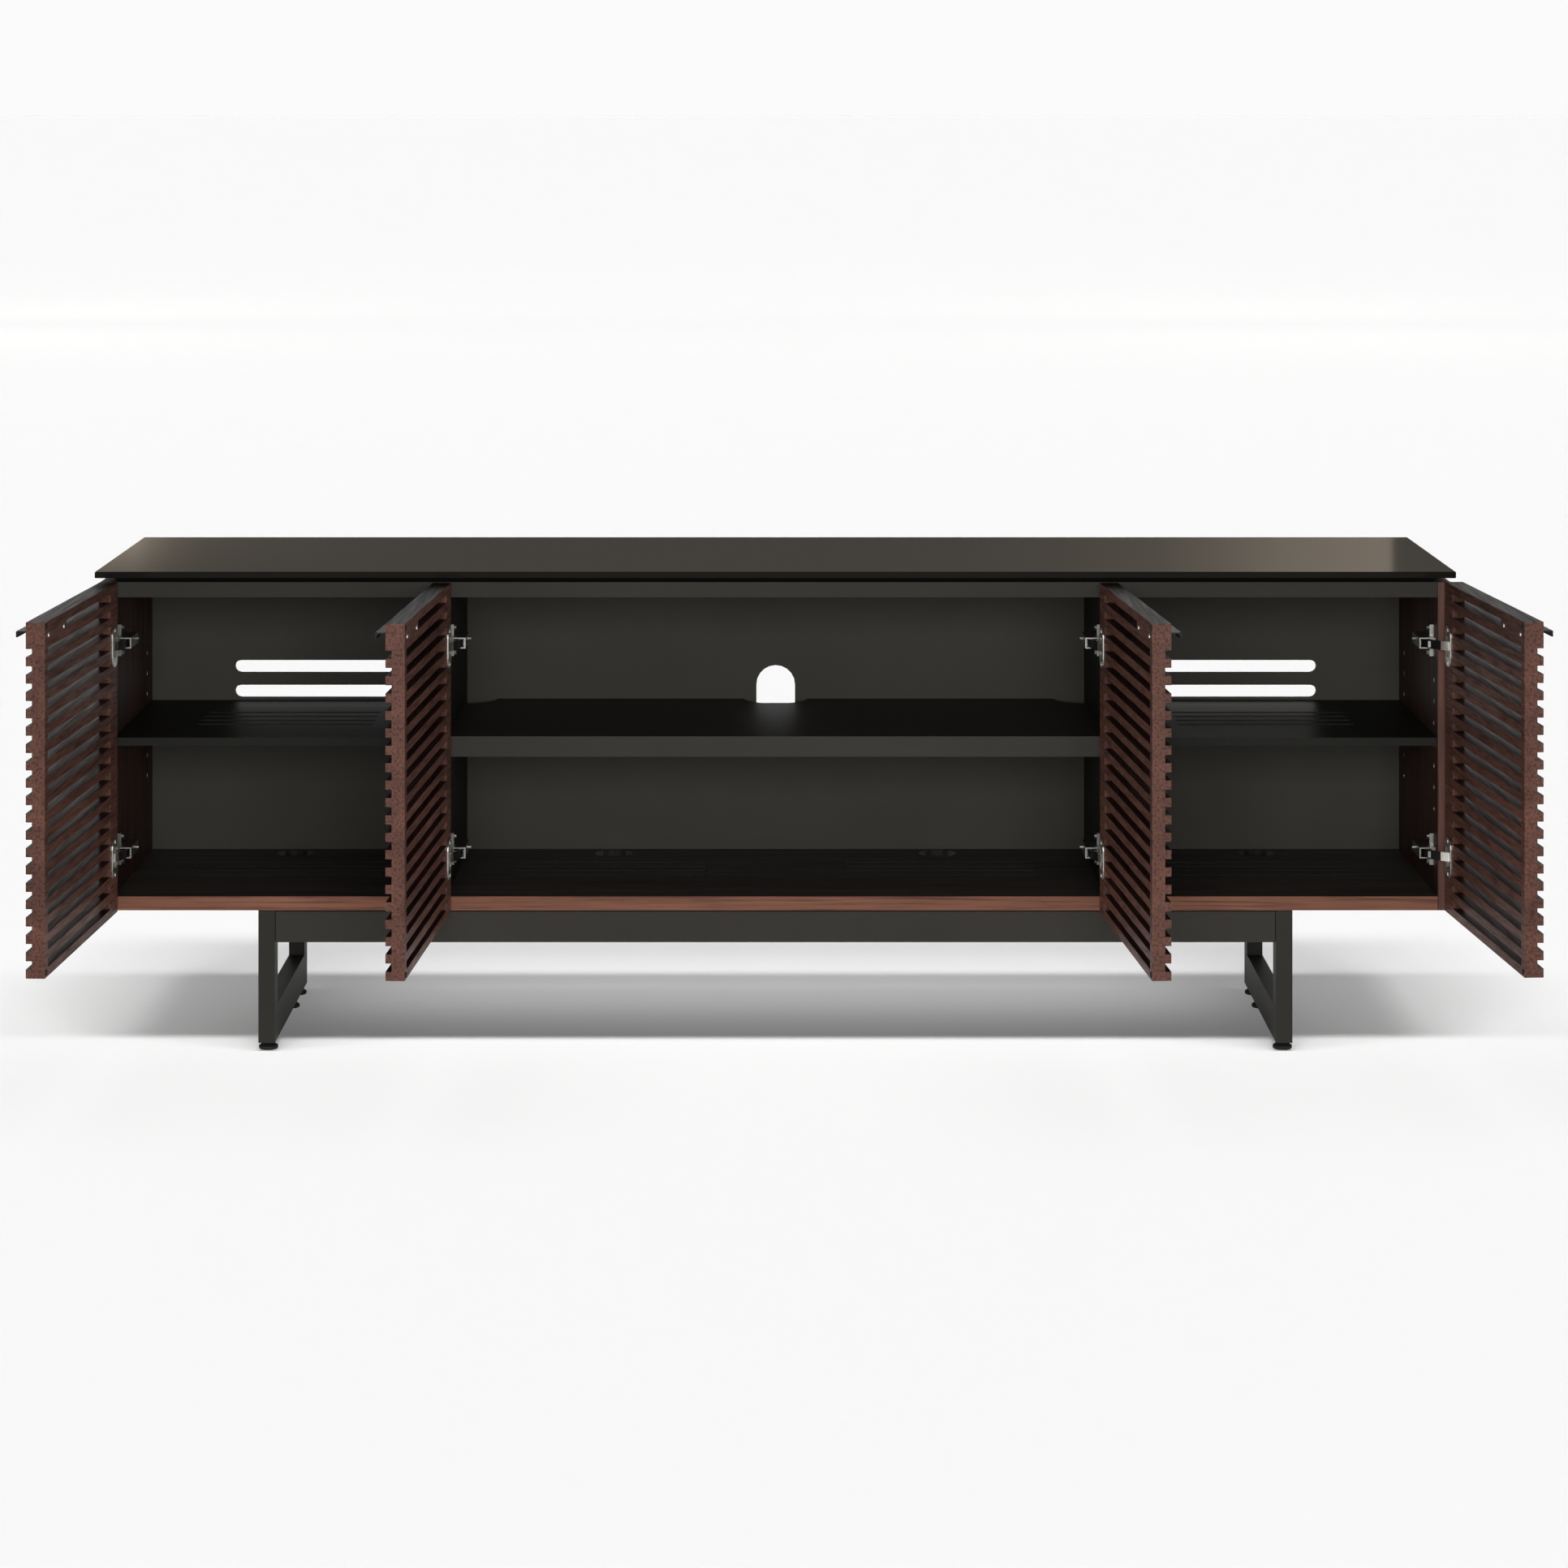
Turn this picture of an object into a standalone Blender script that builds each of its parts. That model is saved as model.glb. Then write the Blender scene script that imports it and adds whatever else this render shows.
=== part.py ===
"""Low media cabinet with a glass top, four slatted doors on concealed hinges and a steel leg base.

Units are metres, +Z is up, +X is to the right seen from the front, and the front faces -Y.
The doors stand open, as they do at rest. The origin is on the floor, at the centre of the whole object's box.
Lengths below are given in a cabinet frame whose y = 0 is the front plane of the carcass.
"""

import math

import bmesh
import bpy
from mathutils import Matrix, Vector

# ---------------------------------------------------------------- driving dimensions
HEIGHT = 0.720            # floor to the top of the glass
TOP_WIDTH = 2.013         # glass width
TOP_DEPTH = 0.504         # glass depth
GLASS_T = 0.0095
GLASS_FRONT = -0.031      # glass front edge, in front of the carcass
GLASS_R = 0.0009          # arris on the glass
BODY_WIDTH = 2.006        # over the side panels
BODY_DEPTH = 0.465
SIDE_T = 0.019            # side panels and dividers
DECK_T = 0.0092           # dark recess under the glass
DECK_INSET = (0.023, 0.010)  # from the carcass ends, and from its front and back
TOP_T = 0.0225
BOTTOM_T = 0.0205
CARCASS_Z = 0.2138        # underside of the carcass
DIVIDER_IN = 0.487        # inner face of each divider from the middle
BACK_Y = 0.407            # inner face of the back panels
BACK_T = 0.012
GAP = 0.0003              # between pieces that touch

SHELF_MID_T = 0.0302
SHELF_MID_Z = 0.4721      # top of the fixed middle shelf
SHELF_SIDE_T = 0.0120
SHELF_SIDE_Z = 0.4699     # top of the side shelves
PIN_R = 0.0025
PIN_HOLE_R = 0.0028
PIN_COLUMNS = (0.037, 0.351)
PIN_PITCH = 0.032
LIP_T = 0.006             # walnut strip on the front of the floor board

DOOR_T = 0.0265
DOOR_H = 0.4878
DOOR_Z = 0.2148
DOOR_GAP = 0.002          # closed door's inner face to the carcass front
SLATS = 21
SLAT_H = 0.0124           # face height of one slat
SLAT_FRONT = 0.0085       # how far the slats stand in front of the stiles
STILE_HINGE = 0.050
STILE_FREE = 0.0190
PULL_BLOCK = 0.139        # solid stretch of the first gap behind the pull
SPLIT_X = 0.5065          # middle of the gap between the inner and outer doors
SPLIT_GAP = 0.0040
MEET_GAP = 0.0040         # between the two inner doors

PULL_START = 0.013        # from the free edge
PULL_LEN = 0.118
PULL_DROP = 0.0133        # from the door's top edge
PULL_T = 0.0022
PULL_OUT = 0.0165
PULL_IN = 0.0088
PULL_LIP = 0.0085

HINGE_Z = (0.298, 0.610)
CUP_FROM_EDGE = 0.0225
CUP_BORE_R = 0.0178
CUP_BORE_DEPTH = 0.0113
CUP_R = 0.0175
CUP_IN_R = 0.0155
CUP_DEPTH = 0.0110
CUP_FLOOR = 0.0012
FLANGE_T = 0.0012
ARM_OUT = 0.0262          # how far each arm's channel stands off its wall
FLANGE = (0.0050, 0.0420)  # from the hinge edge

LEG_X_OUT = 0.7702
LEG_W = 0.0246
LEG_FRONT = 0.018
LEG_DEPTH = 0.445
LEG_BAR = 0.038           # depth of the upright bars
LEG_RAIL = 0.051          # height of the bottom rail
LEG_HEAD = 0.038          # height of the top rail
LEG_Z = 0.0128            # underside of the leg frame
PLATE_T = 0.0034
PLATE_OVER = 0.0062
BEAM_BOTTOM = 0.1626
BEAM_T = 0.0254
FEET_Y = (0.043, 0.337, 0.437)
FOOT_R = 0.0145
STEM_R = 0.0048
STEM_HOLE_R = 0.0052
STEM_TOP = 0.034

# open angle at rest, and the axis from the closed door's hinge edge (b) and inner face (a)
DOORS = {
    # name: (side sign, hinge edge x, width, open degrees, a, b)
    "door_left_outer": (1, -1.0025, 1.0025 - SPLIT_X - SPLIT_GAP / 2, 92.9, 0.0195, 0.0076),
    "door_left_inner": (1, -SPLIT_X + SPLIT_GAP / 2, SPLIT_X - SPLIT_GAP / 2 - MEET_GAP / 2, 92.9, 0.0215, 0.0025),
    "door_right_inner": (-1, SPLIT_X - SPLIT_GAP / 2, SPLIT_X - SPLIT_GAP / 2 - MEET_GAP / 2, 94.0, 0.0215, 0.0025),
    "door_right_outer": (-1, 1.0025, 1.0025 - SPLIT_X - SPLIT_GAP / 2, 94.0, 0.0075, 0.0014),
}

WALNUT = (0.095, 0.030, 0.018, 1.0)
WALNUT_EDGE = (0.165, 0.068, 0.038, 1.0)
BLACK_BOARD = (0.020, 0.019, 0.016, 1.0)
GREY_BOARD = (0.033, 0.032, 0.027, 1.0)
STEEL_DARK = (0.030, 0.030, 0.026, 1.0)
GLASS_TINT = (0.060, 0.052, 0.044, 1.0)
NICKEL = (0.62, 0.60, 0.56, 1.0)
RUBBER = (0.010, 0.010, 0.010, 1.0)

# ---------------------------------------------------------------- clear the scene
for old in list(bpy.data.objects):
    bpy.data.objects.remove(old, do_unlink=True)

parts = bpy.data.collections.new("media_cabinet")
bpy.context.scene.collection.children.link(parts)
cutters = bpy.data.collections.new("cutters")
bpy.context.scene.collection.children.link(cutters)

cabinet = bpy.data.objects.new("cabinet", None)
parts.objects.link(cabinet)


# ---------------------------------------------------------------- helpers
def add(name, mesh, parent, collection):
    obj = bpy.data.objects.new(name, mesh)
    collection.objects.link(obj)
    obj.parent = parent
    return obj


def finish(obj, color, roughness, metallic=0.0, smooth=False):
    """Gives a part its own material."""
    mat = bpy.data.materials.new("mat_" + obj.name)
    mat.use_nodes = True
    bsdf = mat.node_tree.nodes["Principled BSDF"]
    bsdf.inputs["Base Color"].default_value = color
    bsdf.inputs["Roughness"].default_value = roughness
    bsdf.inputs["Metallic"].default_value = metallic
    mat.diffuse_color = color
    obj.data.materials.append(mat)
    if smooth:
        obj.data.shade_smooth()
        obj.data.set_sharp_from_angle(angle=math.radians(35))
    return obj


def box_mesh(name, low, high):
    low, high = Vector(low), Vector(high)
    bm = bmesh.new()
    bmesh.ops.create_cube(bm, size=1.0)
    bmesh.ops.scale(bm, vec=high - low, verts=bm.verts)
    bmesh.ops.translate(bm, vec=(low + high) / 2, verts=bm.verts)
    mesh = bpy.data.meshes.new(name)
    bm.to_mesh(mesh)
    bm.free()
    return mesh


def box(name, low, high, parent=cabinet, collection=parts):
    return add(name, box_mesh(name, low, high), parent, collection)


def rod(name, start, end, radius, sides, parent=cabinet, collection=parts, radius_end=None):
    """A capped cylinder or cone from start to end."""
    start, end = Vector(start), Vector(end)
    bm = bmesh.new()
    bmesh.ops.create_cone(bm, cap_ends=True, cap_tris=False, segments=sides, radius1=radius,
                          radius2=radius if radius_end is None else radius_end, depth=(end - start).length)
    turn = Vector((0, 0, 1)).rotation_difference(end - start).to_matrix().to_4x4()
    bmesh.ops.transform(bm, matrix=Matrix.Translation((start + end) / 2) @ turn, verts=bm.verts)
    mesh = bpy.data.meshes.new(name)
    bm.to_mesh(mesh)
    bm.free()
    return add(name, mesh, parent, collection)


def outline(name, points, thickness, frame=None, parent=cabinet, collection=parts):
    """A flat outline extruded both ways, made a mesh: points lie in XY, and frame carries them into place."""
    curve = bpy.data.curves.new(name + "_curve", "CURVE")
    curve.dimensions = "2D"
    curve.fill_mode = "BOTH"
    curve.extrude = thickness / 2
    spline = curve.splines.new("POLY")
    spline.points.add(len(points) - 1)
    for point, (x, y) in zip(spline.points, points):
        point.co = (x, y, 0, 1)
    spline.use_cyclic_u = True
    drawn = bpy.data.objects.new(name + "_drawn", curve)
    cutters.objects.link(drawn)
    bpy.context.view_layer.update()
    graph = bpy.context.evaluated_depsgraph_get()
    mesh = bpy.data.meshes.new_from_object(drawn.evaluated_get(graph))
    bpy.data.objects.remove(drawn, do_unlink=True)
    mesh.name = name
    bm = bmesh.new()
    bm.from_mesh(mesh)
    bmesh.ops.remove_doubles(bm, verts=bm.verts, dist=1e-6)
    bmesh.ops.dissolve_limit(bm, angle_limit=math.radians(0.5), verts=bm.verts, edges=bm.edges)
    if frame is not None:
        bmesh.ops.transform(bm, matrix=frame, verts=bm.verts)
    bmesh.ops.recalc_face_normals(bm, faces=bm.faces)
    bm.to_mesh(mesh)
    bm.free()
    mesh.materials.clear()
    return add(name, mesh, parent, collection)


def arc(cx, cy, radius, start, end, steps):
    """Points on an arc, in degrees."""
    return [(cx + radius * math.cos(math.radians(start + (end - start) * i / steps)),
             cy + radius * math.sin(math.radians(start + (end - start) * i / steps))) for i in range(steps + 1)]


def stadium(x0, x1, y0, y1, steps=6):
    """A slot with round ends, long in x."""
    r = (y1 - y0) / 2
    cy = (y0 + y1) / 2
    return arc(x1 - r, cy, r, -90, 90, steps) + arc(x0 + r, cy, r, 90, 270, steps)


def rounded(x0, x1, y0, y1, r, steps=3):
    return (arc(x1 - r, y0 + r, r, -90, 0, steps) + arc(x1 - r, y1 - r, r, 0, 90, steps)
            + arc(x0 + r, y1 - r, r, 90, 180, steps) + arc(x0 + r, y0 + r, r, 180, 270, steps))


def boolean(obj, other, operation="DIFFERENCE"):
    """Cuts or joins with another mesh, which stays as a hidden helper."""
    if other.name not in cutters.objects:
        for c in other.users_collection:
            c.objects.unlink(other)
        cutters.objects.link(other)
    other.hide_render = True
    other.display_type = "WIRE"
    mod = obj.modifiers.new(operation.lower() + "_" + other.name, "BOOLEAN")
    mod.object = other
    mod.operation = operation
    mod.solver = "EXACT"
    return obj


UPRIGHT = Matrix.Rotation(math.radians(90), 4, "X")      # outline's XY becomes XZ, its thickness runs along Y


def at(x, y, z):
    return Matrix.Translation((x, y, z))


# ---------------------------------------------------------------- carcass
half = BODY_WIDTH / 2
side_in = half - SIDE_T
glass_z = HEIGHT - GLASS_T
deck_z = glass_z - DECK_T
top_z = deck_z - TOP_T
floor_z = CARCASS_Z + BOTTOM_T
divider_out = DIVIDER_IN + SIDE_T

glass = box("glass_top", (-TOP_WIDTH / 2, GLASS_FRONT, glass_z), (TOP_WIDTH / 2, GLASS_FRONT + TOP_DEPTH, HEIGHT))
arris = glass.modifiers.new("arris", "BEVEL")
arris.width = GLASS_R
arris.segments = 1
finish(glass, GLASS_TINT, 0.12)

deck = box("top_deck", (-half + DECK_INSET[0], DECK_INSET[1], deck_z + GAP),
           (half - DECK_INSET[0], BODY_DEPTH - DECK_INSET[1], glass_z - GAP))
finish(deck, BLACK_BOARD, 0.7)

top_board = box("top_board", (-side_in + GAP, 0, top_z), (side_in - GAP, BODY_DEPTH, deck_z))
finish(top_board, GREY_BOARD, 0.55)

lipping = box("bottom_lipping", (-side_in + GAP, 0, CARCASS_Z), (side_in - GAP, LIP_T, floor_z))
finish(lipping, WALNUT_EDGE, 0.5)

bottom_board = box("bottom_board", (-side_in + GAP, LIP_T + GAP, CARCASS_Z), (side_in - GAP, BODY_DEPTH, floor_z))
for i, x in enumerate((-0.755, -0.254, 0.254, 0.755)):
    boolean(bottom_board, rod(f"cable_hole_{i}", (x, 0.370, CARCASS_Z - 0.01), (x, 0.370, floor_z + 0.01), 0.030, 20,
                              collection=cutters))
for bay, x in enumerate((-0.745, -0.253, 0.253, 0.745)):
    for row in range(4):
        y = 0.1755 + 0.0366 * row
        slot = outline(f"floor_vent_{bay}{row}", stadium(x - 0.150, x + 0.150, y, y + 0.009, 4),
                       0.06, at(0, 0, CARCASS_Z + BOTTOM_T / 2), collection=cutters)
        boolean(bottom_board, slot)
finish(bottom_board, GREY_BOARD, 0.5)

for side, word in ((-1, "left"), (1, "right")):
    x0, x1 = sorted((side * side_in, side * half))
    panel = box(f"side_panel_{word}", (x0, 0, CARCASS_Z), (x1, BODY_DEPTH, deck_z))
    d0, d1 = sorted((side * DIVIDER_IN, side * divider_out))
    divider = box(f"divider_{word}", (d0, 0, floor_z + GAP), (d1, BODY_DEPTH, top_z - GAP))
    pin_z = SHELF_SIDE_Z - SHELF_SIDE_T - GAP - PIN_R
    for place, y in zip(("front", "rear"), PIN_COLUMNS):
        for wall, face, into in ((panel, side * side_in, side), (divider, side * divider_out, -side)):
            tag = f"{'outer' if wall is panel else 'inner'}_{place}_{word}"
            boolean(wall, rod("pin_hole_" + tag, (face - into * 0.004, y, pin_z), (face + into * 0.0092, y, pin_z),
                              PIN_HOLE_R, 10, collection=cutters))
            for step in (-3, -2, -1, 1, 2, 3):
                z = pin_z + step * PIN_PITCH
                boolean(wall, rod(f"pin_hole_{tag}_{step}", (face - into * 0.004, y, z), (face + into * 0.0092, y, z),
                                  PIN_HOLE_R, 8, collection=cutters))
            pin = rod("shelf_pin_" + tag, (face - into * 0.0085, y, pin_z), (face + into * 0.0085, y, pin_z), PIN_R, 10)
            finish(pin, NICKEL, 0.3, 1.0, True)
    finish(panel, WALNUT, 0.5)
    finish(divider, GREY_BOARD, 0.55)

    s0, s1 = sorted((side * (divider_out + 0.001), side * (side_in - 0.001)))
    shelf = box(f"shelf_{word}", (s0, 0.003, SHELF_SIDE_Z - SHELF_SIDE_T), (s1, BACK_Y - GAP * 2, SHELF_SIDE_Z))
    for row in range(4):
        y = 0.1335 + 0.0425 * row
        v0, v1 = sorted((side * 0.610, side * 0.880))
        slot = outline(f"shelf_vent_{word}_{row}", stadium(v0, v1, y, y + 0.013, 4), 0.04,
                       at(0, 0, SHELF_SIDE_Z - SHELF_SIDE_T / 2), collection=cutters)
        boolean(shelf, slot)
    finish(shelf, BLACK_BOARD, 0.4)

    back = box(f"back_panel_{word}", (min(side * (divider_out + GAP), side * (side_in - GAP)), BACK_Y, floor_z + GAP),
               (max(side * (divider_out + GAP), side * (side_in - GAP)), BACK_Y + BACK_T, top_z - GAP))
    for row, z in enumerate((0.4837, 0.5228)):
        v0, v1 = sorted((side * 0.590, side * 0.8535))
        slot = outline(f"back_vent_{word}_{row}", stadium(v0, v1, z - 0.010, z + 0.010, 6), 0.04,
                       at(0, BACK_Y + BACK_T / 2, 0) @ UPRIGHT, collection=cutters)
        boolean(back, slot)
    finish(back, GREY_BOARD, 0.6)

back_mid = box("back_panel_middle", (-DIVIDER_IN + GAP, BACK_Y, floor_z + GAP), (DIVIDER_IN - GAP, BACK_Y + BACK_T, top_z - GAP))
arch_r = 0.0304
arch = [(-arch_r, 0.4635), (arch_r, 0.4635)] + arc(0, 0.5248 - arch_r, arch_r, 0, 180, 10)
boolean(back_mid, outline("cable_arch", arch, 0.04, at(0, BACK_Y + BACK_T / 2, 0) @ UPRIGHT, collection=cutters))
finish(back_mid, GREY_BOARD, 0.6)

shelf_mid = box("shelf_middle", (-DIVIDER_IN + GAP, 0.0006, SHELF_MID_Z - SHELF_MID_T), (DIVIDER_IN - GAP, BACK_Y - GAP * 2, SHELF_MID_Z))
notch_y = BACK_Y - 0.055
for tag, x0, x1 in (("left", -0.540, -0.438), ("mid", -0.050, 0.050), ("right", 0.438, 0.540)):
    xm, rx, ry = (x0 + x1) / 2, (x1 - x0) / 2, BACK_Y - notch_y
    oval = [(xm + rx * math.cos(math.radians(t)), BACK_Y + ry * math.sin(math.radians(t))) for t in range(180, 361, 15)]
    notch = outline("cable_notch_" + tag, oval + [(x1, BACK_Y + 0.02), (x0, BACK_Y + 0.02)], 0.08,
                    at(0, 0, SHELF_MID_Z - SHELF_MID_T / 2), collection=cutters)
    boolean(shelf_mid, notch)
finish(shelf_mid, BLACK_BOARD, 0.45)

# ---------------------------------------------------------------- base
for side, word in ((-1, "left"), (1, "right")):
    x0, x1 = sorted((side * (LEG_X_OUT - LEG_W), side * LEG_X_OUT))
    leg_top = CARCASS_Z - GAP - PLATE_T - GAP
    leg = box(f"leg_frame_{word}", (x0, LEG_FRONT, LEG_Z), (x1, LEG_FRONT + LEG_DEPTH, leg_top))
    boolean(leg, box(f"leg_window_{word}", (x0 - 0.02, LEG_FRONT + LEG_BAR, LEG_Z + LEG_RAIL),
                     (x1 + 0.02, LEG_FRONT + LEG_DEPTH - LEG_BAR, leg_top - LEG_HEAD), collection=cutters))
    xc = (x0 + x1) / 2
    for place, y in zip(("front", "mid", "rear"), FEET_Y):
        boolean(leg, rod(f"stem_hole_{place}_{word}", (xc, y, LEG_Z - 0.004), (xc, y, STEM_TOP + 0.008), STEM_HOLE_R, 12,
                         collection=cutters))
        profile = [(0.0, STEM_TOP), (STEM_R, STEM_TOP), (STEM_R, 0.0098), (0.0085, 0.0088), (FOOT_R, 0.0048),
                   (FOOT_R, 0.0014), (FOOT_R - 0.0014, 0.0), (0.0, 0.0)]
        mesh = bpy.data.meshes.new(f"foot_{place}_{word}")
        mesh.from_pydata([(r, 0, z) for r, z in profile], [(i, i + 1) for i in range(len(profile) - 1)], [])
        foot = add(f"foot_{place}_{word}", mesh, cabinet, parts)
        foot.location = (xc, y, 0)
        turn = foot.modifiers.new("turned", "SCREW")
        turn.steps = turn.render_steps = 16
        turn.use_merge_vertices = True
        turn.merge_threshold = 0.0001
        finish(foot, RUBBER, 0.6)
    finish(leg, STEEL_DARK, 0.45, 0.6)
    p0, p1 = x0 - PLATE_OVER, x1 + PLATE_OVER
    c = 0.006
    y0, y1 = LEG_FRONT + 0.001, LEG_FRONT + LEG_DEPTH - 0.001
    plate = outline(f"leg_plate_{word}", [(p0 + c, y0), (p1 - c, y0), (p1, y0 + c), (p1, y1 - c), (p1 - c, y1), (p0 + c, y1),
                                          (p0, y1 - c), (p0, y0 + c)], PLATE_T, at(0, 0, CARCASS_Z - GAP - PLATE_T / 2))
    finish(plate, STEEL_DARK, 0.45, 0.6)

beam_x = LEG_X_OUT - LEG_W - GAP
for word, y in (("front", LEG_FRONT), ("rear", LEG_FRONT + LEG_DEPTH - BEAM_T)):
    beam = box(f"beam_{word}", (-beam_x, y, BEAM_BOTTOM), (beam_x, y + BEAM_T, CARCASS_Z - 2 * GAP - PLATE_T))
    edge = beam.modifiers.new("edges", "BEVEL")
    edge.width = 0.0015
    edge.segments = 1
    finish(beam, STEEL_DARK, 0.45, 0.6)

# ---------------------------------------------------------------- doors
gap_h = (DOOR_H - SLATS * SLAT_H) / (SLATS - 1)
pitch = gap_h + SLAT_H


def door(name, sign, edge_x, width, open_deg, a, b):
    """One leaf with its pull and two hinge cups, built closed and turned open about its axis empty.

    In the axis frame the inner face is at y = a and the hinge edge at x = -b, mirrored for a right-hand door.
    """
    axis = bpy.data.objects.new(name + "_axis", None)
    parts.objects.link(axis)
    axis.parent = cabinet
    axis.location = (edge_x + sign * b, -DOOR_GAP - a, 0)
    axis.rotation_euler = (0, 0, -sign * math.radians(open_deg))

    def span(u0, u1):
        """Distances from the hinge edge along the closed door, as sorted local x."""
        return sorted((sign * (u0 - b), sign * (u1 - b)))

    outer = a - DOOR_T
    x0, x1 = span(0, width)
    leaf = box(name, (x0, outer, DOOR_Z), (x1, a, DOOR_Z + DOOR_H), axis)

    def plan(u_far, u_stem_far):
        """Plan outline of one gap: open across the front, and through the leaf between the stiles."""
        pts = [(-0.01, outer - 0.01), (u_far, outer - 0.01), (u_far, outer + SLAT_FRONT)]
        if u_stem_far < u_far - 1e-6:
            pts += [(u_stem_far, outer + SLAT_FRONT), (u_stem_far, a + 0.01)]
        else:
            pts += [(u_far, a + 0.01)]
        pts += [(STILE_HINGE, a + 0.01), (STILE_HINGE, outer + SLAT_FRONT), (-0.01, outer + SLAT_FRONT)]
        return [(sign * (u - b), y) for u, y in pts]

    first = DOOR_Z + SLAT_H + gap_h / 2
    slots = outline(name + "_gaps", plan(width + 0.01, width - STILE_FREE), gap_h, at(0, 0, first), axis, cutters)
    stack = slots.modifiers.new("stack", "ARRAY")
    stack.count = SLATS - 2
    stack.use_relative_offset = False
    stack.use_constant_offset = True
    stack.constant_offset_displace = (0, 0, pitch)
    stack.use_merge_vertices = False
    stack.merge_threshold = 0.0001
    boolean(leaf, slots)
    last = first + (SLATS - 2) * pitch
    boolean(leaf, outline(name + "_top_gap", plan(width - PULL_BLOCK, width - PULL_BLOCK), gap_h, at(0, 0, last), axis, cutters))

    # pull, held in a groove of the solid block
    pull_top = DOOR_Z + DOOR_H - PULL_DROP
    g0, g1 = span(width - PULL_START - PULL_LEN - GAP, width - PULL_START + GAP)
    boolean(leaf, box(name + "_groove", (g0, outer - 0.01, pull_top - PULL_T - GAP),
                      (g1, outer + PULL_IN + GAP, pull_top + GAP), axis, cutters))
    tip = outer - PULL_OUT
    wall = 0.0022
    r = 0.0045
    profile = [(outer + PULL_IN, pull_top), (tip + 0.0008, pull_top), (tip, pull_top - 0.0008), (tip, pull_top - PULL_LIP),
               (tip + wall, pull_top - PULL_LIP)]
    profile += arc(tip + wall + r, pull_top - PULL_T - r, r, 180, 90, 4)
    profile += [(outer + PULL_IN, pull_top - PULL_T)]
    p0, p1 = span(width - PULL_START - PULL_LEN, width - PULL_START)
    lay = Matrix(((0, 0, 1, (p0 + p1) / 2), (1, 0, 0, 0), (0, 1, 0, 0), (0, 0, 0, 1)))   # outline's x, y, thickness to y, z, x
    finish(outline(name.replace("door", "pull"), profile, PULL_LEN, lay, axis), STEEL_DARK, 0.35, 0.7)

    # hinge cups, each in its bore
    cx = sign * (CUP_FROM_EDGE - b)
    for place, z in zip(("lower", "upper"), HINGE_Z):
        tag = f"{name}_{place}"
        boolean(leaf, rod(tag + "_bore", (cx, a - CUP_BORE_DEPTH, z), (cx, a + 0.01, z), CUP_BORE_R, 20, axis, cutters))
        f0, f1 = span(*FLANGE)
        cup = outline("hinge_cup_" + tag[5:], rounded(f0, f1, z - 0.0295, z + 0.0295, 0.0150, 4), FLANGE_T,
                      at(0, a + GAP + FLANGE_T / 2, 0) @ UPRIGHT, axis)
        boolean(cup, rod(tag + "_cup", (cx, a - CUP_DEPTH, z), (cx, a + GAP + FLANGE_T * 0.7, z), CUP_R, 20, axis, cutters), "UNION")
        boolean(cup, rod(tag + "_hollow", (cx, a - CUP_DEPTH + CUP_FLOOR, z), (cx, a + 0.02, z), CUP_IN_R, 20, axis, cutters))
        for k, dz in enumerate((-0.0242, 0.0242)):
            boolean(cup, rod(f"{tag}_screw_{k}", (cx, a + GAP + FLANGE_T * 0.4, z + dz), (cx, a + GAP + FLANGE_T + 0.0008, z + dz),
                             0.0030, 8, axis, cutters), "UNION")
        finish(cup, NICKEL, 0.25, 1.0, True)
    return finish(leaf, WALNUT, 0.5)


for name, values in DOORS.items():
    door(name, *values)

# ---------------------------------------------------------------- hinge arms on the side panels and dividers
for name, (sign, edge_x, width, open_deg, a, b) in DOORS.items():
    face = sign * -side_in if "outer" in name else sign * -DIVIDER_IN     # the wall that the arm is screwed to
    into = sign                                                           # away from the wall

    def slab(tag, x0, x1, y0, y1, z0, z1, collection=cutters):
        low, high = sorted((face + into * x0, face + into * x1))
        return box(tag, (low, y0, z0), (high, y1, z1), collection=collection)

    for place, z in zip(("lower", "upper"), HINGE_Z):
        tag = f"{name[5:]}_{place}"
        arm = slab("hinge_arm_" + tag, GAP, 0.0075, 0.0200, 0.0700, z - 0.0060, z + 0.0060, parts)
        boolean(arm, slab(tag + "_wings", GAP + 0.0001, 0.0065, 0.0390, 0.0510, z - 0.0235, z + 0.0235), "UNION")
        boolean(arm, slab(tag + "_channel", 0.0070, ARM_OUT, 0.0060, 0.0780, z - 0.0080, z + 0.0080), "UNION")
        boolean(arm, slab(tag + "_mouth", 0.0086, ARM_OUT - 0.0016, 0.0, 0.0300, z - 0.0064, z + 0.0064))
        boolean(arm, slab(tag + "_nose", 0.0094, 0.0155, -0.0070, 0.0340, z - 0.0045, z + 0.0045), "UNION")
        for k, (x0, x1, dz, r) in enumerate(((0.0060, 0.0098, -0.0182, 0.0044), (0.0060, 0.0098, 0.0182, 0.0044),
                                             (ARM_OUT - 0.0004, ARM_OUT + 0.0056, 0.0024, 0.0027))):
            boolean(arm, rod(f"{tag}_head_{k}", (face + into * x0, 0.0450, z + dz), (face + into * x1, 0.0450, z + dz), r, 10,
                             collection=cutters), "UNION")
        finish(arm, NICKEL, 0.3, 1.0, True)

# ---------------------------------------------------------------- origin on the floor, under the centre of the whole box
bpy.context.view_layer.update()
graph = bpy.context.evaluated_depsgraph_get()
low, high = Vector((9, 9, 9)), Vector((-9, -9, -9))
for obj in parts.objects:
    if obj.type == "MESH":
        shown = obj.evaluated_get(graph)
        for corner in shown.bound_box:
            point = shown.matrix_world @ Vector(corner)
            low = Vector(map(min, low, point))
            high = Vector(map(max, high, point))
cabinet.location = (-(low.x + high.x) / 2, -(low.y + high.y) / 2, 0)
bpy.context.view_layer.update()
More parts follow.
